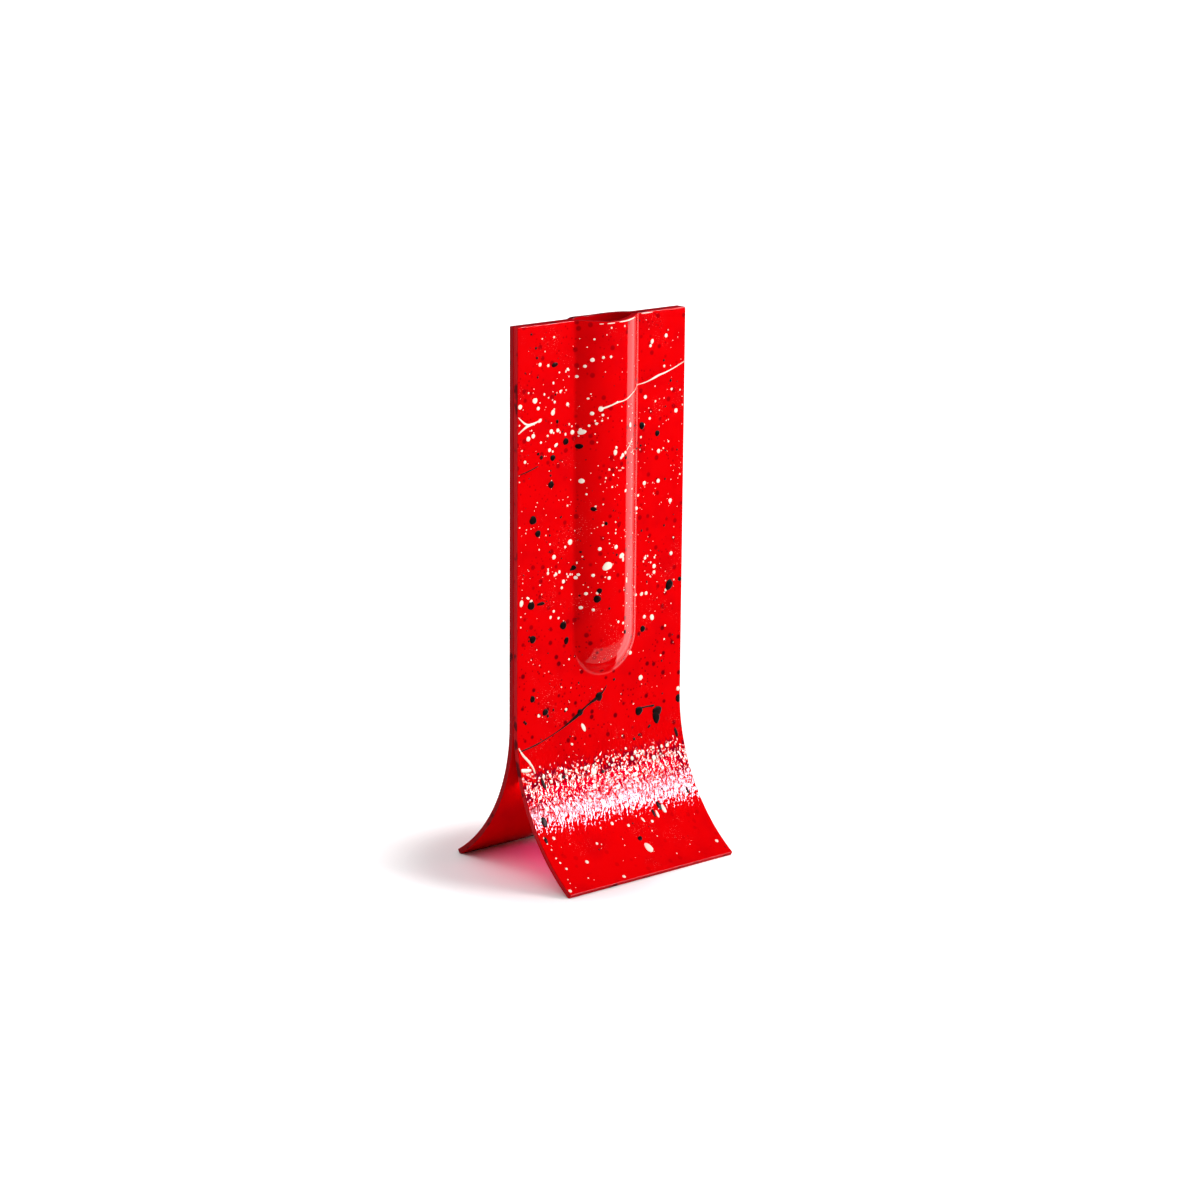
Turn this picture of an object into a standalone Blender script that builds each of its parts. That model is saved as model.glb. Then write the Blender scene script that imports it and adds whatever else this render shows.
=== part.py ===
"""Bud vase made of two formed sheets glued back to back.

Each sheet is flat where it is glued, swells into half of a long pocket with a
round lower end, and sweeps outwards below into a foot. The front sheet faces -Y.
"""

import math

import bmesh
import bpy
from mathutils import Matrix

# Driving sizes, in metres
SHEET_WIDTH = 0.105
VASE_HEIGHT = 0.272
SHEET_THICKNESS = 0.003
GLUE_GAP = 0.0003  # between the two sheets' flat backs
GLUE_CLEARANCE = 0.00001  # from the glue to each sheet

POCKET_HALF_WIDTH = 0.0208  # from the pocket's centre line to where the sheet's back leaves the flat
POCKET_DEPTH = 0.0085  # of the sheet's back, in one sheet
POCKET_BOTTOM = 0.0935  # height of the pocket's lower end above the floor
POCKET_OFFSET = 0.002  # of the pocket's centre line, to the right of the sheet's
POCKET_LIP_RADIUS = 0.006  # of the rounded lip, on the sheet's back
MOUTH_DIP = 0.001  # that the top edge draws down at the pocket's centre line

FOOT_RADIUS = 0.087  # of the sweep, on the sheet's outer face
FOOT_ANGLE = math.radians(58.5)  # from upright to the foot's edge
FOOT_LAND_CUT = 0.0006  # taken off the foot's lower corner, so that it stands flat

GLUE_EDGE_INSET = 0.0008  # from the sheets' side and top edges to the glue
GLUE_POCKET_INSET = 0.0005  # from the pocket's lip to the glue
GLUE_FOOT_INSET = 0.001  # from where the sheets part to the glue

# How finely the curves are cut
SWELL_STEPS = 8
LIP_STEPS = 3
FLAT_STEPS = 2
STRAIGHT_STEPS = 5
FOOT_STEPS = 14
ROUND_END_STEPS = 12

# Sizes that follow from the driving ones
BACK_OFFSET = GLUE_GAP / 2
FOOT_BACK_RADIUS = FOOT_RADIUS + SHEET_THICKNESS
PARTING_HEIGHT = FOOT_BACK_RADIUS * math.sin(FOOT_ANGLE) - FOOT_LAND_CUT
SWELL_ANGLE = 2 * math.atan(POCKET_DEPTH / POCKET_HALF_WIDTH)
SWELL_RADIUS = POCKET_HALF_WIDTH / math.sin(SWELL_ANGLE) - POCKET_LIP_RADIUS
POCKET_CENTRE = POCKET_BOTTOM + POCKET_HALF_WIDTH  # height of the round end's centre

SHEET_RED = (0.86, 0.003, 0.006, 1)
GLUE_RED = (0.62, 0.05, 0.05, 1)


def clear_scene():
    for leftover in list(bpy.data.objects):
        bpy.data.objects.remove(leftover)


def new_collection(name):
    collection = bpy.data.collections.new(name)
    bpy.context.scene.collection.children.link(collection)
    return collection


def plain_material(name, colour, roughness):
    material = bpy.data.materials.new(name)
    material.use_nodes = True
    shader = material.node_tree.nodes["Principled BSDF"]
    shader.inputs["Base Color"].default_value = colour
    shader.inputs["Roughness"].default_value = roughness
    shader.inputs["Metallic"].default_value = 0
    return material


def pocket_stations():
    """Distances from the pocket's centre line, closer together where the sheet curves."""
    swell = [SWELL_RADIUS * math.sin(SWELL_ANGLE * i / SWELL_STEPS) for i in range(SWELL_STEPS + 1)]
    lip = [
        POCKET_HALF_WIDTH - POCKET_LIP_RADIUS * math.sin(SWELL_ANGLE * (1 - i / LIP_STEPS))
        for i in range(1, LIP_STEPS + 1)
    ]
    return swell + lip


def column_stations():
    """Places across the sheet, from its left edge to its right edge."""
    pocket = pocket_stations()
    columns = [-place for place in reversed(pocket[1:])] + pocket
    columns = [POCKET_OFFSET + place for place in columns]
    left, right = -SHEET_WIDTH / 2, SHEET_WIDTH / 2
    left_flat = [left + (columns[0] - left) * i / FLAT_STEPS for i in range(FLAT_STEPS)]
    right_flat = [right + (columns[-1] - right) * i / FLAT_STEPS for i in range(FLAT_STEPS)]
    return left_flat + columns + list(reversed(right_flat))


def row_stations():
    """Places down the sheet's back as (height of a straight sheet, angle of the foot's sweep)."""
    straight = VASE_HEIGHT - POCKET_CENTRE
    rows = [(VASE_HEIGHT - straight * i / STRAIGHT_STEPS, 0) for i in range(STRAIGHT_STEPS)]
    rows += [(POCKET_CENTRE - distance, 0) for distance in pocket_stations()]
    rows += [(PARTING_HEIGHT, FOOT_ANGLE * i / FOOT_STEPS) for i in range(FOOT_STEPS + 1)]
    return rows


def swell_depth(distance):
    """How far the sheet's back stands off the flat at this distance from the pocket's centre line."""
    if distance >= POCKET_HALF_WIDTH:
        return 0
    if distance <= SWELL_RADIUS * math.sin(SWELL_ANGLE):
        return POCKET_DEPTH - SWELL_RADIUS + math.sqrt(SWELL_RADIUS**2 - distance**2)
    inward = POCKET_HALF_WIDTH - distance
    return POCKET_LIP_RADIUS - math.sqrt(POCKET_LIP_RADIUS**2 - inward**2)


def back_point(across, height, sweep):
    """A point of the sheet's back, with the sheet standing on the +Y side of the glue."""
    below_centre = max(0, POCKET_CENTRE - height)
    swell = swell_depth(math.hypot(across - POCKET_OFFSET, below_centre))
    draw_down = MOUTH_DIP * swell / POCKET_DEPTH
    draw_down *= max(0, height - POCKET_CENTRE) / (VASE_HEIGHT - POCKET_CENTRE)
    out = BACK_OFFSET + swell + FOOT_BACK_RADIUS * (1 - math.cos(sweep))
    up = height - draw_down - FOOT_BACK_RADIUS * math.sin(sweep)
    return across, out, up


def formed_sheet(name, side, floor_cutter, material, collection):
    """One sheet: a grid laid along its back, thickened outwards and cut flat under the foot.

    side is -1 for the front sheet and 1 for the rear one.
    """
    columns, rows = column_stations(), row_stations()
    form = bmesh.new()
    bmesh.ops.create_grid(form, x_segments=len(columns) - 1, y_segments=len(rows) - 1, size=0.5)
    for vertex in form.verts:
        column = columns[round((vertex.co.x + 0.5) * (len(columns) - 1))]
        height, sweep = rows[round((0.5 - vertex.co.y) * (len(rows) - 1))]
        across, out, up = back_point(column, height, sweep)
        vertex.co = (across, side * out, up)
    # The grid's faces end up facing -Y, which is outwards only on the front sheet.
    if side > 0:
        bmesh.ops.reverse_faces(form, faces=form.faces)
    mesh = bpy.data.meshes.new(name)
    form.to_mesh(mesh)
    form.free()
    mesh.materials.append(material)
    mesh.shade_smooth()
    sheet = bpy.data.objects.new(name, mesh)
    collection.objects.link(sheet)

    thicken = sheet.modifiers.new("thickness", "SOLIDIFY")
    thicken.thickness = SHEET_THICKNESS
    thicken.offset = 1
    thicken.use_even_offset = True
    thicken.use_quality_normals = True
    stand = sheet.modifiers.new("foot_land", "BOOLEAN")
    stand.operation = "DIFFERENCE"
    stand.object = floor_cutter
    # Keeps the wide faces' shading flat up to the cut edges.
    sheet.modifiers.new("shading", "WEIGHTED_NORMAL")
    return sheet


def floor_block(collection):
    """A cutter whose top is the floor. It reaches past both feet."""
    reach = 4 * FOOT_BACK_RADIUS
    depth = 0.02
    block = bmesh.new()
    bmesh.ops.create_cube(block, size=1)
    bmesh.ops.scale(block, vec=(2 * SHEET_WIDTH, reach, depth), verts=block.verts)
    bmesh.ops.translate(block, vec=(0, 0, -depth / 2), verts=block.verts)
    mesh = bpy.data.meshes.new("floor_block")
    block.to_mesh(mesh)
    block.free()
    cutter = bpy.data.objects.new("floor_block", mesh)
    cutter.hide_render = True
    cutter.display_type = "WIRE"
    collection.objects.link(cutter)
    return cutter


def glue_outline():
    """The glue's outline in its own plane, as a U around the pocket, with the pocket open at the top."""
    side = SHEET_WIDTH / 2 - GLUE_EDGE_INSET
    top = VASE_HEIGHT - GLUE_EDGE_INSET
    bottom = PARTING_HEIGHT + GLUE_FOOT_INSET
    inner = POCKET_HALF_WIDTH + GLUE_POCKET_INSET
    right_lip, left_lip = POCKET_OFFSET + inner, POCKET_OFFSET - inner
    round_end = [
        (POCKET_OFFSET + inner * math.cos(angle), POCKET_CENTRE - inner * math.sin(angle))
        for angle in (math.pi * i / ROUND_END_STEPS for i in range(ROUND_END_STEPS + 1))
    ]
    outer = [(-side, top), (-side, bottom), (side, bottom), (side, top)]
    return [*outer, (right_lip, top), *round_end, (left_lip, top)]


def glue_film(name, material, collection):
    """The glue between the sheets, as a flat outline given its thickness."""
    curve = bpy.data.curves.new(name, "CURVE")
    curve.dimensions = "2D"
    curve.fill_mode = "BOTH"
    curve.extrude = GLUE_GAP / 2 - GLUE_CLEARANCE
    points = glue_outline()
    spline = curve.splines.new("POLY")
    spline.points.add(len(points) - 1)
    for point, (across, up) in zip(spline.points, points):
        point.co = (across, up, 0, 1)
    spline.use_cyclic_u = True
    curve.materials.append(material)
    film = bpy.data.objects.new(name, curve)
    film.matrix_world = Matrix.Rotation(math.radians(90), 4, "X")
    collection.objects.link(film)
    return film


def main():
    clear_scene()
    vase = new_collection("bud_vase")
    cutters = new_collection("cutters")
    sheet_gloss = plain_material("red_gloss_sheet", SHEET_RED, 0.12)
    glue_clear = plain_material("clear_glue", GLUE_RED, 0.3)
    floor_cutter = floor_block(cutters)
    formed_sheet("front_sheet", -1, floor_cutter, sheet_gloss, vase)
    formed_sheet("rear_sheet", 1, floor_cutter, sheet_gloss, vase)
    glue_film("glue_seam", glue_clear, vase)


main()
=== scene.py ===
import math
import random

import bpy
from mathutils import Matrix, Vector


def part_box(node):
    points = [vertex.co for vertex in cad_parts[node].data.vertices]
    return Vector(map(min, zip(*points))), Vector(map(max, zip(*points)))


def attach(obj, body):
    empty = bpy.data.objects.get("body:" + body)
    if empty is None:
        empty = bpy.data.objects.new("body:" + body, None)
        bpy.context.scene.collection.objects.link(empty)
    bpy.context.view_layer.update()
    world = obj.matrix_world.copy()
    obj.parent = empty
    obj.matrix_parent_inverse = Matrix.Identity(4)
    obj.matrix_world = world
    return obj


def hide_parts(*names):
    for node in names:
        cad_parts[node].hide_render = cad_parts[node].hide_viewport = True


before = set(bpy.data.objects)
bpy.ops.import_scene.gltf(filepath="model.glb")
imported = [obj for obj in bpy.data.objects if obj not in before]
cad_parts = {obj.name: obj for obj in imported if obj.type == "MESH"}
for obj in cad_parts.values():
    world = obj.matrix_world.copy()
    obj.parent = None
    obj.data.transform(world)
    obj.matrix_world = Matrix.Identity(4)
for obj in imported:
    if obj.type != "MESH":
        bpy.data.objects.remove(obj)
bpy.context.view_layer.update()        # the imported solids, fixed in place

frontLow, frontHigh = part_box("front_sheet")

sheetLook = {
    "width": frontHigh.x - frontLow.x,
    "top": frontHigh.z,
    "backY": -frontHigh.y,            # each flat back stands this far from the middle plane
    "thickness": 0.003,
    "pocketHalfWidth": 0.0208,
    "pocketDepth": 0.0085,
    "pocketBottom": 0.0935,
    "pocketShift": 0.002,             # of the pocket's centre line, to the right
    "pocketLip": 0.003,               # radius of the hollow around the pocket, on the outer face
    "mouthDip": 0.001,
    "footRadius": 0.087,              # on the outer face
    "footAngle": math.radians(58.5),
    "footLandCut": 0.0006,
    "easedEdge": 0.00035,
    "swellSteps": 20,
    "lipSteps": 8,
    "roundEndSteps": 32,
    "footSteps": 56,
}
s = sheetLook
s["faceY"] = s["backY"] + s["thickness"]
s["bendHeight"] = (s["footRadius"] + s["thickness"]) * math.sin(s["footAngle"]) - s["footLandCut"]
s["swellAngle"] = 2 * math.atan(s["pocketDepth"] / s["pocketHalfWidth"])
s["swellRadius"] = s["pocketHalfWidth"] / math.sin(s["swellAngle"]) - s["pocketLip"]
s["pocketCentre"] = s["pocketBottom"] + s["pocketHalfWidth"]
tiny = 0.00001


# small helpers

def deselectAll():
    if bpy.context.mode != "OBJECT":
        bpy.ops.object.mode_set(mode="OBJECT")
    bpy.ops.object.select_all(action="DESELECT")


def makeActive(obj):
    deselectAll()
    obj.select_set(True)
    bpy.context.view_layer.objects.active = obj


def pickPoints(obj, isWanted):
    # goes into edit mode with just these points selected
    bpy.ops.object.mode_set(mode="OBJECT")
    mesh = obj.data
    for group in (mesh.vertices, mesh.edges, mesh.polygons):
        group.foreach_set("select", [False] * len(group))
    for point in mesh.vertices:
        point.select = isWanted(point.co)
    bpy.ops.object.mode_set(mode="EDIT")
    bpy.ops.mesh.select_mode(type="VERT")


def applyModifier(obj, name, kind, settings):
    modifier = obj.modifiers.new(name, kind)
    for key, value in settings.items():
        setattr(modifier, key, value)
    bpy.ops.object.modifier_apply(modifier=modifier.name)


def near(value, target):
    return abs(value - target) < tiny


# the two formed sheets

def halfPocket():
    # the right half of the straight part: flat strip, hollow lip and swell, with the pocket's
    # centre line at x = 0
    face, halfWidth = s["faceY"], s["pocketHalfWidth"]
    flatWidth = s["width"] / 2 - halfWidth
    straight = s["top"] - s["pocketCentre"]
    deselectAll()
    bpy.ops.mesh.primitive_plane_add(
        size=1,
        location=(halfWidth + flatWidth / 2, -face, s["pocketCentre"] + straight / 2),
        rotation=(math.pi / 2, 0, 0),
    )
    sheet = bpy.context.object
    sheet.scale = (flatWidth, straight, 1)
    bpy.ops.object.transform_apply(location=True, rotation=True, scale=True)

    pickPoints(sheet, lambda co: near(co.x, halfWidth))
    lipCentre = (halfWidth, -face - s["pocketLip"], 0)
    bpy.ops.mesh.spin(steps=s["lipSteps"], angle=-s["swellAngle"], center=lipCentre, axis=(0, 0, 1))
    swellCentre = (0, -face - s["pocketDepth"] + s["swellRadius"], 0)
    bpy.ops.mesh.spin(steps=s["swellSteps"], angle=s["swellAngle"], center=swellCentre, axis=(0, 0, 1))

    # the round lower end is the same section turned a quarter round
    centre = (0, 0, s["pocketCentre"])
    pickPoints(sheet, lambda co: near(co.z, s["pocketCentre"]) and co.x < halfWidth + tiny)
    bpy.ops.mesh.spin(steps=s["roundEndSteps"], angle=-math.pi / 2, center=centre, axis=(0, 1, 0))

    # its rim, and the strip's lower edge, drop straight down to where the foot begins
    def onRim(co):
        outside = Vector((co.x, 0, min(0, co.z - s["pocketCentre"]))).length > halfWidth - tiny
        return outside and co.z < s["pocketCentre"] + tiny
    pickPoints(sheet, onRim)
    bpy.ops.mesh.extrude_region_move()
    bpy.ops.transform.resize(value=(1, 1, 0), center_override=(0, 0, s["bendHeight"]))
    bpy.ops.object.mode_set(mode="OBJECT")
    return sheet


def openSheet():
    # the whole front sheet as a surface without thickness
    sheet = halfPocket()
    makeActive(sheet)
    applyModifier(sheet, "otherHalf", "MIRROR", {"merge_threshold": tiny})
    bpy.ops.object.mode_set(mode="EDIT")
    bpy.ops.mesh.select_all(action="SELECT")
    bpy.ops.mesh.remove_doubles(threshold=tiny)
    bpy.ops.transform.translate(value=(s["pocketShift"], 0, 0))
    sideEdge = s["width"] / 2 - 2 * s["pocketShift"]
    pickPoints(sheet, lambda co: abs(co.x - s["pocketShift"]) > sideEdge)
    bpy.ops.transform.translate(value=(-s["pocketShift"], 0, 0))

    # the mouth draws down a little over the pocket
    pickPoints(sheet, lambda co: near(co.z, s["top"]) and near(co.x, s["pocketShift"]))
    bpy.ops.transform.translate(
        value=(0, 0, -s["mouthDip"]),
        use_proportional_edit=True,
        proportional_edit_falloff="SMOOTH",
        proportional_size=s["pocketHalfWidth"],
    )

    pickPoints(sheet, lambda co: near(co.z, s["bendHeight"]))
    bendCentre = (0, -s["faceY"] - s["footRadius"], s["bendHeight"])
    bpy.ops.mesh.spin(steps=s["footSteps"], angle=s["footAngle"], center=bendCentre, axis=(1, 0, 0))
    bpy.ops.mesh.select_all(action="SELECT")
    bpy.ops.mesh.remove_doubles(threshold=tiny)
    bpy.ops.mesh.normals_make_consistent(inside=False)
    bpy.ops.object.mode_set(mode="OBJECT")
    if sum(face.normal.y * face.area for face in sheet.data.polygons) > 0:
        bpy.ops.object.mode_set(mode="EDIT")
        bpy.ops.mesh.flip_normals()
        bpy.ops.object.mode_set(mode="OBJECT")
    return sheet


def finishSheet(sheet):
    applyModifier(sheet, "thickness", "SOLIDIFY", {
        "thickness": s["thickness"],
        "offset": -1,
        "use_even_offset": True,
        "use_quality_normals": True,
    })
    # the foot's lower corner is ground flat
    bpy.ops.object.mode_set(mode="EDIT")
    bpy.ops.mesh.select_all(action="SELECT")
    bpy.ops.mesh.bisect(plane_co=(0, 0, 0), plane_no=(0, 0, 1), use_fill=True, clear_inner=True)
    bpy.ops.object.mode_set(mode="OBJECT")
    applyModifier(sheet, "easedEdges", "BEVEL", {
        "width": s["easedEdge"],
        "segments": 3,
        "limit_method": "ANGLE",
        "angle_limit": math.radians(50),
    })
    bpy.ops.object.shade_smooth()
    applyModifier(sheet, "evenShading", "WEIGHTED_NORMAL", {"keep_sharp": True})


def makeSheets():
    front = openSheet()
    front.name = "formed_sheet_front"
    finishSheet(front)
    deselectAll()
    rear = front.copy()
    rear.data = front.data.copy()
    rear.name = "formed_sheet_rear"
    bpy.context.collection.objects.link(rear)
    makeActive(rear)
    bpy.ops.object.mode_set(mode="EDIT")
    bpy.ops.mesh.select_all(action="SELECT")
    bpy.ops.transform.resize(value=(1, -1, 1), center_override=(0, 0, 0))
    bpy.ops.mesh.flip_normals()
    bpy.ops.object.mode_set(mode="OBJECT")
    bpy.ops.object.shade_smooth()
    applyModifier(rear, "evenShading", "WEIGHTED_NORMAL", {"keep_sharp": True})
    for sheet, node in ((front, "front_sheet"), (rear, "rear_sheet")):
        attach(sheet, "root")
        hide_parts(node)
    return front, rear


frontSheet, rearSheet = makeSheets()
print("formed sheets:", len(frontSheet.data.polygons), "faces each")


# splashed paint, laid out flat as (across, up the sheet) in millimetres, then pressed on

paintLook = {
    "dropSides": 12,
    # a drop one high: its rim, then how its crown steps in and rises
    "rimHeight": 0.25,
    "crownInset": 0.13,
    "crownRise": 0.45,
    "crownPeak": 0.3,
    "whiteScale": 0.86,
    "blackScale": 1.1,
    "sunk": 0.00004,            # a drop's underside lies this far inside the sheet
    "thin": 0.00007,            # height of the smallest drop
    "fat": 0.055,               # what a drop gains in height for its width
    "streakFlatness": 0.28,
    "clearEdge": 0.0004,        # between paint and the sheet's eased edges
    # in millimetres: how far out, down and up the sheet loose drops fall
    "reach": 51.5,
    "lowest": -11,
    "highest": 268,
    "thickHeight": 178,         # loose drops gather about this height
    "thickSpread": 42,
    "flickSpread": 1.1,         # of the drops of a flick about its line
}
mm = 0.001
footEnd = s["bendHeight"] - s["footRadius"] * s["footAngle"]

# each drop is (across, up, width), or (across, up, width, length, turn in degrees)
frontWhite = [
    (-39, 253, 2.2), (-34, 252, 1.7), (-22, 249, 1.7), (-17, 245, 1.7), (-14, 250, 1.7),
    (-11, 253, 2.3), (-6, 254, 1.7), (-2, 254, 1.6), (-7, 229, 3), (2, 231.5, 1.5), (40, 259, 2.3),
    (31, 257, 2.2, 3, -20), (30, 255, 1.9), (39, 244, 1.6), (44, 232, 1.6), (27, 230, 2.3),
    (47, 221, 2.6), (30, 219, 1.7), (12, 219, 2.4, 3, 0), (-42, 236, 3.4, 3.2, 0), (-40, 232, 2.2),
    (-51, 234, 2.8), (-31, 229, 2.7, 3.4, -20), (-22, 232, 2.2), (-30, 234, 1.6), (-39, 226, 3, 2, 35),
    (-11, 227, 2.2), (-6, 226, 1.6), (-9, 222, 1.6), (-46, 218, 2.8), (-43, 219, 2.6), (-32, 220, 2.5),
    (-28, 220, 2.2), (-19, 218, 2.7), (-15, 218, 4, 2.8, 15), (-33, 211, 2.2), (-29, 213, 3, 1.8, 35),
    (-48, 207, 1.9), (-15, 194, 2.8), (1, 207, 2.6, 3.4, 0), (6, 205, 2.4), (8, 206, 2), (36, 202, 2.5),
    (27, 187, 2.5), (36, 187, 2.5), (44, 176, 2.6), (22, 175, 2.2), (-20, 164, 3.2), (-23, 162, 1.6),
    (-7, 160, 2.2), (2, 160, 2.5), (-3, 151, 6.4, 4.6, 20), (6, 155, 4.2, 3, 10), (7, 153, 1.8, 3, 0),
    (-30, 158, 2.7), (-17, 146, 2), (-24, 145, 2.3), (-25, 142, 1.7), (-10, 147, 1.9), (-2, 145, 2.2),
    (10, 142, 1.5, 3.4, 0), (34, 144, 2.6), (34, 141, 2.2), (45, 149, 2.4), (28, 149, 1.9),
    (-50, 138, 2.6, 4, -10), (-46, 140, 2.6, 1.4, -25), (-44, 138, 2.2), (-13, 138, 1.9),
    (-8, 138, 1.7), (-15, 131, 2), (26, 131, 2.6, 2, 30), (29, 131, 2.2), (33, 118, 2.8, 3.8, 20),
    (28, 119, 2.2), (4, 122, 1.7), (19, 102, 2.4), (-30, 131, 1.7), (26, 88, 3.1), (51, 78, 2.8),
    (-39, 80, 2.2), (-22, 80, 1.9), (-11, 69, 2.4, 5.6, 28), (-19, 62, 2, 1.4, -30), (-10, 39, 3),
    (-42, 34, 2.8), (31, 46, 3.2), (35, 40, 2.2), (17, 40, 4.4, 2.4, 10), (-8, 46, 4, 3.4, 0),
    (20, 51, 2.2), (9, 24, 2.6), (27, 20, 2.8, 5.6, 8), (22, 18, 1.8, 5, 0), (-17, -10, 2.2),
    (-51, -10, 2.2), (-32, 3, 2.3), (-44, 19, 2), (-21, 11, 1.7), (-7, 19, 2.2), (2, 16, 1.9),
    (17, 15, 1.9), (12, 17, 1.4, 3.6, 25), (48, -4, 2.2), (7, 2, 4.6, 6.8, 12), (-15, 33, 2.6),
    (4, 36, 3), (40, 30, 2.8),
]
frontBlack = [
    (-30, 252, 3.6, 2.2, 10), (25, 216, 3, 3.6, 20), (35, 211, 2.8), (-23, 214, 3.2),
    (-16, 211, 3, 2.4, 0), (-31, 207, 2.8), (-38, 208, 2), (-32, 194, 3.3), (-43, 178, 4),
    (-40, 171, 3.2), (-10, 180, 2.8, 2, -15), (-18, 151, 2.4), (-7, 139, 2.6), (-8, 135, 3.4),
    (-44, 136, 4), (-38, 136, 4.6, 1.6, 0), (44, 133, 4.2, 5.4, -25), (51, 135, 2.2), (-24, 123, 3.8),
    (-43, 119, 3.6), (-22, 115, 2.6, 3.6, -15), (27, 113, 3), (9, 116, 1.5, 2.2, 0),
    (-43, 89, 2.8, 3.2, 0), (-35, 81, 3.3), (25, 71, 4.6, 4.2, 20), (37, 69, 5.6, 4.2, 0),
    (36, 66, 4.2, 6.4, 12), (51, 73, 3, 4, 0), (48, 56, 1.8, 5, 10), (-46, 28, 3.2, 5, 0),
    (-49, 19, 1.8, 3.4, 0), (5, 8, 2.8, 2.2, 25), (25, 22, 2.4, 4.6, 10), (20, 19, 1.6, 4, 5),
    (46, 26, 1.3, 4.2, 10), (-40, 46, 1.7, 6, 12), (-27, 47, 2.6, 1.4, 30), (31, 62, 2.4, 1.2, 35),
    (24, 59, 1.8, 1, 20), (-13, 77, 3.4), (-1, 83, 4, 4.4, 30),
]
# each streak is a line of (across, up, width)
frontWhiteStreaks = [
    [(-7, 229, 0.9), (-5, 229.5, 0.9), (-1, 230.5, 0.6), (2, 231.5, 0.9), (4, 231.5, 0.5), (8, 232, 0.5),
     (11, 233, 0.8), (13, 234, 0.4), (17, 235, 0.6), (20, 236.5, 0.35), (26, 237, 0.45), (30, 238, 0.5),
     (33, 239, 1.2), (36, 240, 0.9), (39, 240.5, 0.8), (44, 242, 0.45), (47, 243, 0.6), (52, 245, 0.35)],
    [(-52, 229, 0.4), (-49, 226, 0.9), (-46, 224.5, 1), (-43, 225, 0.5)],
    [(-52, 221, 0.4), (-49, 223, 1), (-46, 224.5, 1.6), (-42, 225, 1), (-38, 226.5, 0.4)],
    [(-52, 66, 0.5), (-50, 62, 1.2), (-47, 59, 1.4), (-44, 54, 1.1), (-44, 52, 0.6)],
    [(-52, 55, 1.4), (-49, 54, 2.8), (-46, 54, 1)],
    [(9, 207, 0.4), (12, 209, 0.5), (14, 212, 0.3)],
]
frontBlackStreaks = [
    [(-52, 64, 0.6), (-44, 65, 0.9), (-36, 67, 0.5), (-27, 70, 0.6), (-22, 72, 0.9), (-18, 74, 1.5),
     (-14, 76, 2.2), (-10, 79, 0.9), (-6, 81, 1.1), (-3, 82, 2.2), (2, 85, 0.9), (4, 88, 0.5)],
    [(25, 72, 1.2), (29, 72.5, 0.5), (35, 72, 1.2)],
    [(-52, 201, 0.3), (-46, 202, 0.8), (-40, 204, 0.5)],
]
# white dashes along the front lip: partly white paint, partly a painted highlight where the eased lip
# catches the light
lipPaintAndGlints = [
    [(-8, 270.2, 0.3), (-7, 270.2, 0.7), (-6, 270.2, 0.3)],
    [(-4, 270.2, 0.4), (-2, 270.2, 0.7), (0, 270.2, 0.4)],
    [(3, 270.4, 0.4), (7, 270.4, 0.7), (12, 270.7, 0.8), (16, 271, 0.4)],
    [(24, 271.4, 0.3), (27, 271.4, 0.6), (31, 271.4, 0.3)],
]


def makeDropShape():
    # a low dome, 1 across and 1 high, closed, with its flat underside at z = 0
    p, rim = paintLook, paintLook["rimHeight"]
    deselectAll()
    bpy.ops.mesh.primitive_cylinder_add(
        vertices=p["dropSides"], radius=0.5, depth=rim, location=(0, 0, rim / 2)
    )
    drop = bpy.context.object
    bpy.ops.object.transform_apply(location=True, rotation=True, scale=True)
    pickPoints(drop, lambda co: near(co.z, rim))
    bpy.ops.mesh.select_mode(type="FACE")
    bpy.ops.mesh.inset(thickness=p["crownInset"], depth=p["crownRise"])
    bpy.ops.mesh.poke(offset=p["crownPeak"])
    bpy.ops.object.mode_set(mode="OBJECT")
    bpy.ops.object.shade_smooth()
    return drop


def layDrop(shape, across, up, width, length=None, turn=0):
    length = length or width
    drop = shape.copy()
    drop.data = shape.data.copy()
    bpy.context.collection.objects.link(drop)
    uneven = min(0.07, 0.014 * width)
    for point in drop.data.vertices:
        angle = math.atan2(point.co.y, point.co.x)
        push = 1 + uneven * math.sin(3 * angle + across + up) + uneven / 2 * math.sin(5 * angle - up)
        point.co.x *= push
        point.co.y *= push
    rise = paintLook["thin"] + paintLook["fat"] * min(width, length) * mm
    drop.matrix_world = (
        Matrix.Translation((across * mm, up * mm, -paintLook["sunk"]))
        @ Matrix.Rotation(math.radians(turn), 4, "Z")
        @ Matrix.Diagonal((width * mm, length * mm, rise, 1))
    )
    return drop


def layStreak(line):
    curve = bpy.data.curves.new("streak", "CURVE")
    curve.dimensions = "3D"
    curve.bevel_depth = 1
    curve.bevel_resolution = 2
    curve.use_fill_caps = True
    curve.resolution_u = 8
    spline = curve.splines.new("NURBS")
    spline.points.add(len(line) - 1)
    spline.order_u = 3
    spline.use_endpoint_u = True
    for point, (across, up, width) in zip(spline.points, line):
        point.co = (across * mm, up * mm, 0, 1)
        point.radius = width * mm / 2
    streak = bpy.data.objects.new("streak", curve)
    bpy.context.collection.objects.link(streak)
    makeActive(streak)
    bpy.ops.object.convert(target="MESH")
    streak = bpy.context.object
    streak.scale.z = paintLook["streakFlatness"]
    bpy.ops.object.transform_apply(location=False, rotation=False, scale=True)
    bpy.ops.object.mode_set(mode="EDIT")
    bpy.ops.mesh.select_all(action="SELECT")
    bpy.ops.mesh.remove_doubles(threshold=tiny)
    bpy.ops.mesh.normals_make_consistent(inside=False)
    bpy.ops.object.mode_set(mode="OBJECT")
    bpy.ops.object.shade_smooth()
    return streak


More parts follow.
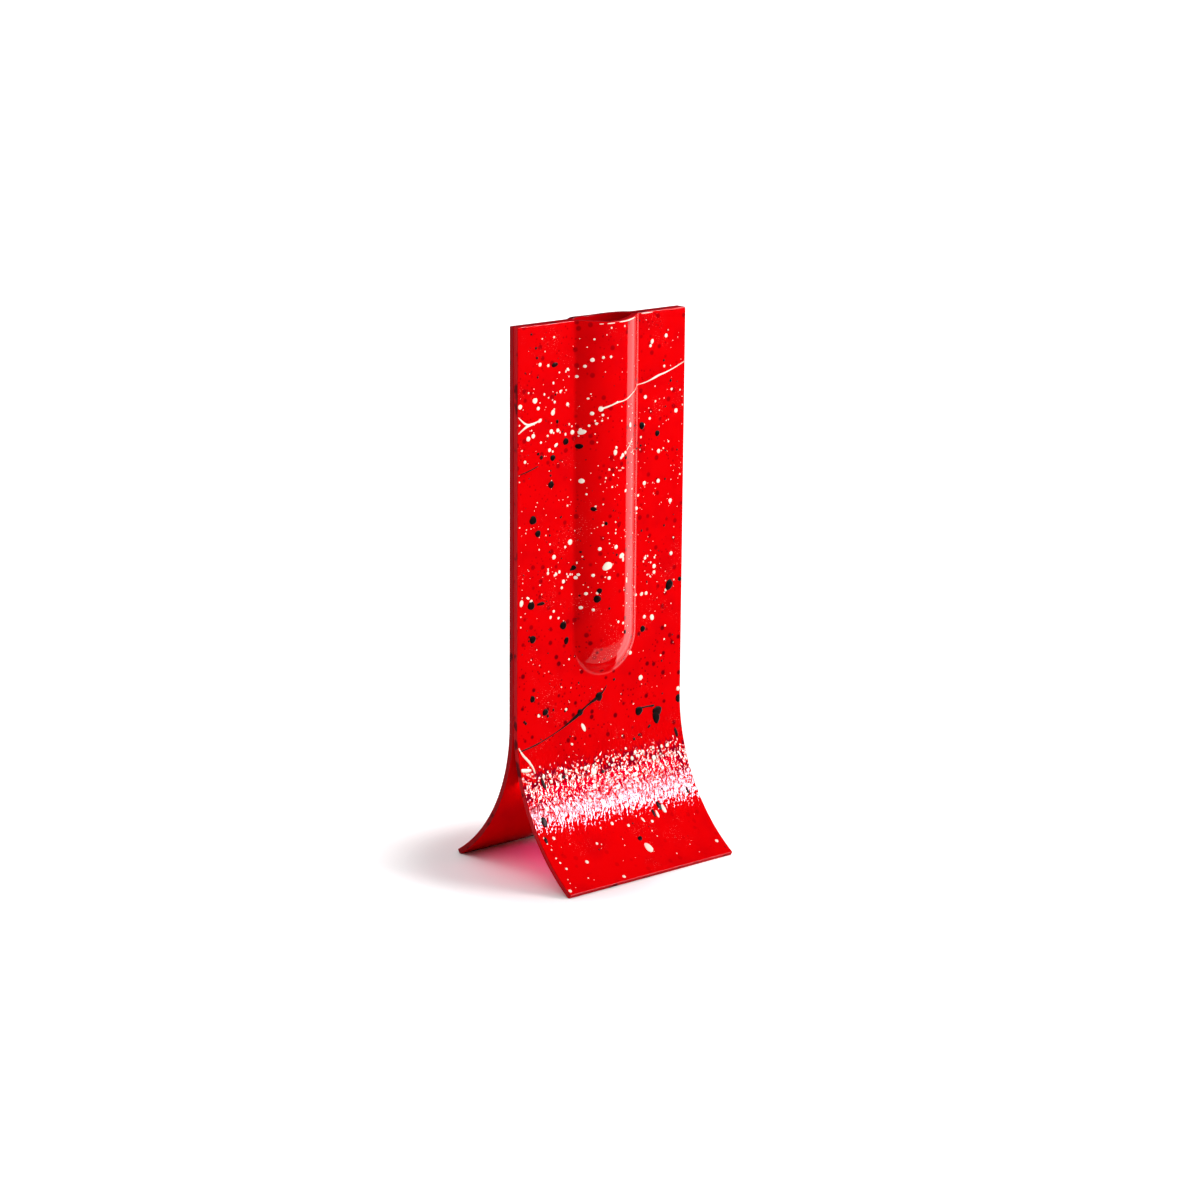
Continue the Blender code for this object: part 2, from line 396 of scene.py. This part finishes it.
def trimPaint(paint):
    # the flat paint stops short of the sheet's edges
    side = s["width"] / 2 - paintLook["clearEdge"]
    cuts = [((side, 0, 0), (1, 0, 0)), ((-side, 0, 0), (-1, 0, 0)),
            ((0, footEnd + paintLook["clearEdge"], 0), (0, -1, 0))]
    makeActive(paint)
    for place, outward in cuts:
        bpy.ops.object.mode_set(mode="EDIT")
        bpy.ops.mesh.select_all(action="SELECT")
        bpy.ops.mesh.bisect(plane_co=place, plane_no=outward, use_fill=True, clear_outer=True)
        bpy.ops.object.mode_set(mode="OBJECT")


def pressOn(paint, side):
    # side is -1 for the front sheet and 1 for the rear one, which is its mirror image
    for point in paint.data.vertices:
        across, up, rise = point.co
        sweep = max(0, s["bendHeight"] - up) / s["footRadius"]
        start = Vector((across, -s["faceY"] - s["footRadius"], max(up, s["bendHeight"])))
        inward = Vector((0, math.cos(sweep), -math.sin(sweep)))
        found, place, normal, _ = frontSheet.ray_cast(start, inward)
        if not found:
            raise RuntimeError(f"paint misses the sheet at {across:.4f}, {up:.4f}")
        place = place + normal * rise
        point.co = (place.x, -side * place.y, place.z)
    if side > 0:
        makeActive(paint)
        bpy.ops.object.mode_set(mode="EDIT")
        bpy.ops.mesh.select_all(action="SELECT")
        bpy.ops.mesh.flip_normals()
        bpy.ops.object.mode_set(mode="OBJECT")


def splash(name, side, drops, streaks, scale):
    # all the paint of one colour on one sheet
    pieces = []
    for across, up, *size in drops:
        sides = [width * scale for width in size[:2]]
        pieces.append(layDrop(dropShape, across, up, *sides, *size[2:]))
    pieces += [layStreak(line) for line in streaks]
    deselectAll()
    for piece in pieces:
        piece.select_set(True)
    bpy.context.view_layer.objects.active = pieces[0]
    bpy.ops.object.join()
    paint = bpy.context.object
    paint.name = name
    bpy.ops.object.transform_apply(location=True, rotation=True, scale=True)
    trimPaint(paint)
    pressOn(paint, side)
    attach(paint, "root")
    return paint


def scatter(seed, count, smallest, largest, thick=0.5):
    # loose drops, most of them small; a share gathers over the middle of the straight part
    p, chance = paintLook, random.Random(seed)
    drops = []
    for _ in range(count):
        across = chance.uniform(-p["reach"], p["reach"])
        if chance.random() < thick:
            up = chance.gauss(p["thickHeight"], p["thickSpread"])
        else:
            up = chance.uniform(p["lowest"], p["highest"])
        up = min(p["highest"], max(p["lowest"], up))
        width = smallest + (largest - smallest) * chance.random() ** 2.5
        length = width * chance.uniform(0.8, 1.25)
        drops.append((across, up, width, length, chance.uniform(0, 180)))
    return drops


def flick(seed, start, end, count, smallest, largest):
    # a line of drops thrown off one stroke
    chance, reach, spread = random.Random(seed), paintLook["reach"], paintLook["flickSpread"]
    drops = []
    for step in range(count):
        share = (step + chance.uniform(-0.4, 0.4)) / count
        across = start[0] + (end[0] - start[0]) * share + chance.gauss(0, spread)
        up = start[1] + (end[1] - start[1]) * share + chance.gauss(0, spread)
        width = chance.uniform(smallest, largest)
        length = width * chance.uniform(0.9, 1.3)
        drops.append((max(-reach, min(reach, across)), up, width, length, 0))
    return drops


frontWhite += scatter(11, 170, 0.5, 1.7) + scatter(23, 330, 0.4, 0.95)
frontWhite += flick(12, (-38, 236), (-20, 240), 8, 0.7, 1.5)
frontWhite += flick(13, (-37, 217), (0, 224), 12, 0.8, 1.6)
frontWhite += flick(14, (6, 200), (-5, 193), 8, 0.6, 1.1)
frontWhite += flick(15, (-36, 152), (-14, 146), 12, 0.8, 1.8)
frontWhite += flick(16, (12, 210), (16, 204), 10, 0.5, 1.1)
frontWhite += flick(17, (26, 150), (36, 146), 6, 0.8, 1.5)
frontWhite += flick(18, (-44, 48), (45, 51), 34, 0.6, 2.4)
frontWhite += flick(19, (-50, 22), (-46, 2), 7, 0.8, 1.6)
frontWhite += flick(20, (-27, 250), (-18, 246), 5, 0.6, 1.2)
frontBlack += scatter(21, 60, 0.5, 1.8) + scatter(24, 130, 0.4, 1.3, 0.7)
frontBlack += flick(22, (-50, 78), (-20, 80), 6, 0.6, 1.5)
dropShape = makeDropShape()
whiteScale, blackScale = paintLook["whiteScale"], paintLook["blackScale"]
frontWhiteLines = frontWhiteStreaks + lipPaintAndGlints
frontWhitePaint = splash("white_paint_front", -1, frontWhite, frontWhiteLines, whiteScale)
frontBlackPaint = splash("black_paint_front", -1, frontBlack, frontBlackStreaks, blackScale)

rearWhite = scatter(31, 70, 1.6, 4.2) + scatter(32, 250, 0.5, 1.7)
rearWhite += flick(33, (40, 240), (10, 224), 12, 0.8, 2)
rearWhite += flick(34, (-46, 150), (-12, 170), 14, 0.8, 2)
rearWhite += flick(35, (45, 51), (-40, 48), 30, 0.6, 2.2)
rearBlack = scatter(41, 42, 1.8, 5.2, 0.3) + scatter(42, 60, 0.5, 1.8)
rearWhiteStreaks = [
    [(-52, 190, 0.5), (-44, 193, 0.8), (-33, 199, 1.4), (-22, 204, 0.8), (-12, 211, 1.2), (-9, 213, 2.6)],
    [(50, 120, 0.5), (44, 117, 1.4), (38, 113, 1.8), (31, 111, 0.6)],
    [(46, 255, 2.4), (43, 252, 0.8), (38, 246, 0.6)],
]
rearBlackStreaks = [
    [(52, 88, 0.8), (42, 92, 1.2), (33, 97, 2.4), (26, 99, 3.4), (21, 102, 1)],
    [(-30, 232, 3), (-26, 236, 1), (-20, 241, 1.8)],
]
rearWhitePaint = splash("white_paint_rear", 1, rearWhite, rearWhiteStreaks, whiteScale)
rearBlackPaint = splash("black_paint_rear", 1, rearBlack, rearBlackStreaks, blackScale)
deselectAll()
bpy.data.objects.remove(dropShape)
for paint in (frontWhitePaint, frontBlackPaint, rearWhitePaint, rearBlackPaint):
    print(paint.name, len(paint.data.polygons), "faces")


# camera

cameraLook = {
    "standsAt": math.radians(-39.911),  # azimuth of its place; 0 is straight in front
    "looksAlong": math.radians(-39.964),
    "distance": 1.518,                  # along the floor
    "height": 0.516,
    "tiltDown": math.radians(14.218),
    "roll": math.radians(0.46),
    "lens": 95.67,
    "sensor": 36,
}


def makeCamera():
    c = cameraLook
    camera = bpy.data.objects.new("camera", bpy.data.cameras.new("camera"))
    bpy.context.scene.collection.objects.link(camera)
    camera.data.lens = c["lens"]
    camera.data.sensor_width = c["sensor"]
    turn = Matrix.Rotation(c["looksAlong"], 4, "Z")
    tilt = Matrix.Rotation(math.pi / 2 - c["tiltDown"], 4, "X")
    roll = Matrix.Rotation(c["roll"], 4, "Z")
    where = Vector((math.sin(c["standsAt"]), -math.cos(c["standsAt"]), 0)) * c["distance"]
    camera.matrix_world = Matrix.Translation(where + Vector((0, 0, c["height"]))) @ turn @ tilt @ roll
    bpy.context.scene.camera = camera


makeCamera()
print("camera placed")


# floor, world and lights

studioLook = {
    "floorSize": 30,
    "floorWhite": 0.8,
    "glowCentre": (-0.03, 0.01, 0),
    # the floor gives off its own light: from a distance, fully from another, how much
    "floorGlow": ((0.045, 0.09, 0.45), (0.35, 3, 0.55)),
    "backdropWhite": 1.0,       # what the camera sees past the floor
    "fill": 0.1,                # even light from all round
    "gloss": 0.0,               # what a glossy surface sees where no lamp stands
    # name: azimuth and elevation seen from the vase, distance, width, height, brightness,
    # whether it lights surfaces, whether it shows in gloss
    "lamps": {
        "key": (46, 24, 2.2, 1.0, 0.9, 14, (1, 1, 1), True, False),
        "overhead": (20, 86, 2.6, 6, 6, 1.1, (1, 1, 1), True, False),
        "high_shine": (46, 27, 2.2, 1.0, 0.30, 34, (0.95, 0.83, 1), False, True),
        "low_shine": (40, 15, 2.2, 0.9, 0.14, 50, (1, 0.97, 0.9), False, True),
        "side_panel": (100, -15, 1.6, 1.85, 1.6, 1.55, (1, 1, 1), False, True),
        "back_left": (200, 30, 2.4, 0.9, 0.9, 4, (1, 1, 1), True, True),
    },
    # level lamps: place, turn about the upright, 1 if it faces up and -1 if down, then as above
    "levelLamps": {
        # red light that comes through the sheets into the arch
        "arch_glow": ((0, 0, 0.045), 0, -1, 0.09, 0.03, 7, (1, 0.05, 0.25), True, False),
        # the bright part of the table that the pocket mirrors
        "table_shine": ((0.335, -0.12, -0.005), 0, 1, 0.73, 0.14, 0.62, (1, 1, 1), False, True),
    },
    "aim": 0.06,                # height that the lamps point at
}


def makeFloor():
    deselectAll()
    bpy.ops.mesh.primitive_plane_add(size=studioLook["floorSize"])
    floor = bpy.context.object
    floor.name = "floor"
    floor.visible_glossy = False
    return floor


def makePanel(name, width, height, brightness, colour, lights, shows):
    data = bpy.data.lights.new(name, "AREA")
    data.shape = "RECTANGLE"
    data.size, data.size_y = width, height
    data.energy = brightness * math.pi * width * height
    data.color = colour
    lamp = bpy.data.objects.new(name, data)
    bpy.context.scene.collection.objects.link(lamp)
    lamp.visible_camera = False
    lamp.visible_diffuse = lights
    lamp.visible_glossy = shows
    return lamp


def makeLamp(name, azimuth, elevation, distance, *panel):
    lamp = makePanel(name, *panel)
    turn, lift = math.radians(azimuth), math.radians(elevation)
    away = Vector((math.sin(turn) * math.cos(lift), -math.cos(turn) * math.cos(lift), math.sin(lift)))
    lamp.matrix_world = Matrix.Translation(Vector((0, 0, studioLook["aim"])) + away * distance)
    lamp.matrix_world = lamp.matrix_world @ away.to_track_quat("Z", "Y").to_matrix().to_4x4()


def makeLevelLamp(name, place, turn, facing, *panel):
    lamp = makePanel(name, *panel)
    lamp.location = place
    lamp.rotation_euler = (math.pi if facing > 0 else 0, 0, math.radians(turn))


def makeWorld():
    world = bpy.data.worlds.new("studio")
    bpy.context.scene.world = world
    world.use_nodes = True
    tree = world.node_tree
    tree.nodes.clear()
    rays = tree.nodes.new("ShaderNodeLightPath")
    shown = tree.nodes.new("ShaderNodeMix")
    lit = tree.nodes.new("ShaderNodeMix")
    lit.inputs[2].default_value = studioLook["fill"]
    lit.inputs[3].default_value = studioLook["gloss"]
    shown.inputs[3].default_value = studioLook["backdropWhite"]
    tree.links.new(rays.outputs["Is Glossy Ray"], lit.inputs[0])
    tree.links.new(lit.outputs[0], shown.inputs[2])
    tree.links.new(rays.outputs["Is Camera Ray"], shown.inputs[0])
    background = tree.nodes.new("ShaderNodeBackground")
    tree.links.new(shown.outputs[0], background.inputs["Color"])
    output = tree.nodes.new("ShaderNodeOutputWorld")
    tree.links.new(background.outputs[0], output.inputs[0])


floor = makeFloor()
for name, lamp in studioLook["lamps"].items():
    makeLamp(name, *lamp)
for name, lamp in studioLook["levelLamps"].items():
    makeLevelLamp(name, *lamp)
makeWorld()
bpy.context.scene.view_settings.view_transform = "Standard"
print("studio lit")


# finishes

class Wire:
    # a shader socket that can stand in a Python expression
    def __init__(self, tree, socket):
        self.tree, self.socket = tree, socket

    def node(self, kind, settings=None, inputs=None, output=0):
        made = self.tree.nodes.new(kind)
        for key, value in (settings or {}).items():
            setattr(made, key, value)
        for key, value in (inputs or {}).items():
            if isinstance(value, Wire):
                self.tree.links.new(value.socket, made.inputs[key])
            else:
                made.inputs[key].default_value = value
        return Wire(self.tree, made.outputs[output])

    def maths(self, operation, first, second):
        return self.node("ShaderNodeMath", {"operation": operation}, {0: first, 1: second})

    def __add__(self, other):
        return self.maths("ADD", self, other)

    def __radd__(self, other):
        return self.maths("ADD", other, self)

    def __sub__(self, other):
        return self.maths("SUBTRACT", self, other)

    def __rsub__(self, other):
        return self.maths("SUBTRACT", other, self)

    def __mul__(self, other):
        return self.maths("MULTIPLY", self, other)

    def __rmul__(self, other):
        return self.maths("MULTIPLY", other, self)

    def step(self, low, high):
        # 0 below low, 1 above high, smooth between; low may be above high
        return self.node("ShaderNodeMapRange", {"interpolation_type": "SMOOTHSTEP"}, {
            "Value": self, "From Min": low, "From Max": high, "To Min": 0.0, "To Max": 1.0,
        })

    def mixColour(self, under, over):
        # self is how much of over shows
        return self.node("ShaderNodeMix", {"data_type": "RGBA"}, {0: self, 6: under, 7: over}, 2)

    def axis(self, name):
        return self.node("ShaderNodeSeparateXYZ", inputs={0: self}, output="XYZ".index(name))

    def stretched(self, scale):
        return self.node("ShaderNodeMapping", inputs={"Vector": self, "Scale": scale})


def newFinish(name, sockets):
    # a material with these fixed values, its shader node and its object coordinates
    material = bpy.data.materials.new(name)
    material.use_nodes = True
    tree = material.node_tree
    shader = tree.nodes["Principled BSDF"]
    for key, value in sockets.items():
        shader.inputs[key].default_value = value
    coordinates = tree.nodes.new("ShaderNodeTexCoord")
    place = Wire(tree, coordinates.outputs["Object"])
    return material, shader, place


def plug(shader, key, wire):
    wire.tree.links.new(wire.socket, shader.inputs[key])


def noise(place, scale, detail=2.0, roughness=0.5):
    return place.node("ShaderNodeTexNoise", inputs={
        "Vector": place, "Scale": scale, "Detail": detail, "Roughness": roughness,
    })


def voronoi(place, scale, output="Distance"):
    return place.node("ShaderNodeTexVoronoi", inputs={"Vector": place, "Scale": scale}, output=output)


def glossRedFace():
    look = {
        "red": (0.65, 0.0, 0.001, 1),
        "shadeRed": (0.46, 0.0, 0.002, 1),
        "spotRed": (0.15, 0.0, 0.002, 1),
        "pitShadeRed": (0.20, 0.0, 0.008, 1),
        "pale": (0.9, 0.35, 0.3, 1),
        "peelSize": 700,
        "peelStart": 0.074,
        "peelFull": 0.064,
        "peelHeight": 0.00036,
        "spotSize": 190,            # cells to a metre, as are the next two
        "speckSize": 430,
        "mistSize": 1200,
        "cloudShare": 0.45,
        "speckShare": 0.8,
        "mistShare": 0.45,
        "pitShadeDepth": (0.49, 0.43),   # painted shade: the grain's hollows, between these values of its noise, get a dark, dull red
        "bendTop": (0.057, 0.050),  # heights between which the painted pit shade sets in, then dies out
        "bendEnd": (0.028, 0.040),
    }
    material, shader, place = newFinish("gloss_red_face", {"Roughness": 0.05, "IOR": 1.49})
    clouds = noise(place, 60, 3).step(0.45, 0.75)
    spotCells = voronoi(place, look["spotSize"])
    cellColour = voronoi(place, look["spotSize"], "Color")
    chosen = spotCells.node("ShaderNodeSeparateColor", inputs={0: cellColour})
    spots = spotCells.step(0.30, 0.16) * chosen.step(0.50, 0.54)
    specks = voronoi(place, look["speckSize"]).step(0.28, 0.14) * noise(place, 70, 1).step(0.48, 0.58)
    mist = voronoi(place, look["mistSize"]).step(0.22, 0.12) * noise(place, 45, 2).step(0.55, 0.68)
    peel = noise(place.stretched((1, 0.5, 0.5)), look["peelSize"], 1, 0.5)
    height = place.axis("Z")
    # more spots below the pocket, few on the foot
    spotted = (0.6 + 0.4 * height.step(0.130, 0.105)) * (0.2 + 0.8 * height.step(0.045, 0.070))
    # the grain sets in at the bend and fades towards the foot's edge
    amount = height.step(look["peelStart"], look["peelFull"]) * (0.3 + 0.7 * height.step(0.012, 0.038))
    red = (clouds * look["cloudShare"]).mixColour(look["red"], look["shadeRed"])
    red = (spots * spotted).mixColour(red, look["spotRed"])
    red = (specks * spotted * look["speckShare"]).mixColour(red, look["spotRed"])
    red = (mist * look["mistShare"]).mixColour(red, look["pale"])
    inBend = height.step(*look["bendTop"]) * height.step(*look["bendEnd"])
    plug(shader, "Base Color", red)
    bump = place.node("ShaderNodeBump", inputs={
        "Strength": 1.0, "Distance": look["peelHeight"], "Height": peel * amount,
    })
    plug(shader, "Normal", bump)
    # painted shade: the grain's hollows get a dark red and are dull, so the bend's highlight breaks into
    # dark gaps
    pitShade = place.node("ShaderNodeBsdfPrincipled", inputs={
        "Base Color": look["pitShadeRed"], "Roughness": 0.9, "Specular IOR Level": 0.0,
    })
    both = place.node("ShaderNodeMixShader", inputs={
        0: peel.step(*look["pitShadeDepth"]) * inBend, 1: Wire(place.tree, shader.outputs[0]), 2: pitShade,
    })
    place.tree.links.new(both.socket, place.tree.nodes["Material Output"].inputs["Surface"])
    return material


def paintSkin(place, size):
    return place.node("ShaderNodeBump", inputs={
        "Strength": 0.4, "Distance": 0.0001, "Height": noise(place, size, 2),
    })


def whiteSplash():
    material, shader, place = newFinish("white_splash", {"Roughness": 0.22, "IOR": 1.5})
    thin = noise(place, 420, 2).step(0.45, 0.75)
    plug(shader, "Base Color", (thin * 0.5).mixColour((0.82, 0.72, 0.60, 1), (0.78, 0.56, 0.44, 1)))
    plug(shader, "Normal", paintSkin(place, 1500))
    return material


def blackSplash():
    material, shader, place = newFinish("black_splash", {"Roughness": 0.3, "Specular IOR Level": 0.1})
    thin = noise(place, 300, 2).step(0.50, 0.72)
    plug(shader, "Base Color", (thin * 0.5).mixColour((0.004, 0.002, 0.002, 1), (0.07, 0.0, 0.001, 1)))
    plug(shader, "Normal", paintSkin(place, 1300))
    return material


def plainRedBackWithPaintedShade():
    material, shader, place = newFinish(
        "plain_red_back_painted_shade", {"Roughness": 0.12, "Specular IOR Level": 0.06}
    )
    # painted shade: the backs get a darker red than the outer face, for the shade they sit in under the
    # arch and inside the mouth
    clouds = noise(place, 45, 3).step(0.4, 0.8)
    plug(shader, "Base Color", clouds.mixColour((0.56, 0.0, 0.002, 1), (0.44, 0.0, 0.004, 1)))
    return material


def cutRedEdge():
    # the rear sheet's edges are darker than the front's
    material, shader, place = newFinish("cut_red_edge", {"Specular IOR Level": 0.25})
    rear = place.axis("Y").step(-0.0002, 0.0002)
    red = rear.mixColour((0.48, 0.0, 0.004, 1), (0.30, 0.0, 0.003, 1))
    blots = noise(place, 130, 2).step(0.58, 0.66)
    plug(shader, "Base Color", (blots * 0.8).mixColour(red, (0.03, 0.0, 0.002, 1)))
    saw = noise(place.stretched((1, 1, 0.06)), 1800, 2)
    plug(shader, "Roughness", 0.22 + saw * 0.2)
    return material


def paleFloor():
    white = studioLook["floorWhite"]
    material, shader, place = newFinish(
        "pale_floor", {"Roughness": 0.9, "Specular IOR Level": 0.1, "Emission Strength": 1.0}
    )
    cloud = noise(place, 3, 2)
    centre = studioLook["glowCentre"]
    outwards = place.node(
        "ShaderNodeVectorMath", {"operation": "DISTANCE"}, {0: place, 1: centre}, "Value"
    )
    close, far = [outwards.step(start, full) * share for start, full, share in studioLook["floorGlow"]]
    plug(shader, "Emission Color", (close + far).mixColour((0, 0, 0, 1), (1, 1, 1, 1)))
    coolWhite = (white * 0.99, white * 0.99, white, 1)
    plug(shader, "Base Color", cloud.mixColour((white, white, white, 1), coolWhite))
    return material


cutHeight = 0.0045  # the foot's cut edge lies below this


def finishSheetFaces(sheet, side, finishes):
    # side is -1 for the front sheet; the outer face, the back and the cut edges each have a finish
    for finish in finishes:
        sheet.data.materials.append(finish)
    for face in sheet.data.polygons:
        outward = face.normal.y * side
        across = abs(face.normal.x) > 0.8 and abs(face.center.x) > s["width"] / 2 - s["easedEdge"]
        onTop = face.normal.z > 0.6 and face.center.z > s["bendHeight"]
        atFoot = face.center.z < cutHeight and (face.normal.z < -0.9 or abs(face.normal.y) > 0.7)
        if across or onTop or (atFoot and outward > 0.7):
            face.material_index = 2
        else:
            face.material_index = 0 if outward > 0 else 1


faceFinish, backFinish, edgeFinish = glossRedFace(), plainRedBackWithPaintedShade(), cutRedEdge()
finishSheetFaces(frontSheet, -1, (faceFinish, backFinish, edgeFinish))
finishSheetFaces(rearSheet, 1, (faceFinish, backFinish, edgeFinish))
floor.data.materials.append(paleFloor())
for paint, finish in (
    (frontWhitePaint, whiteSplash()), (frontBlackPaint, blackSplash()),
    (rearWhitePaint, whiteSplash()), (rearBlackPaint, blackSplash()),
):
    paint.data.materials.clear()
    paint.data.materials.append(finish)
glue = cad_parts["glue_seam"]
glue.data.materials.clear()
glue.data.materials.append(edgeFinish)
print("finishes on")
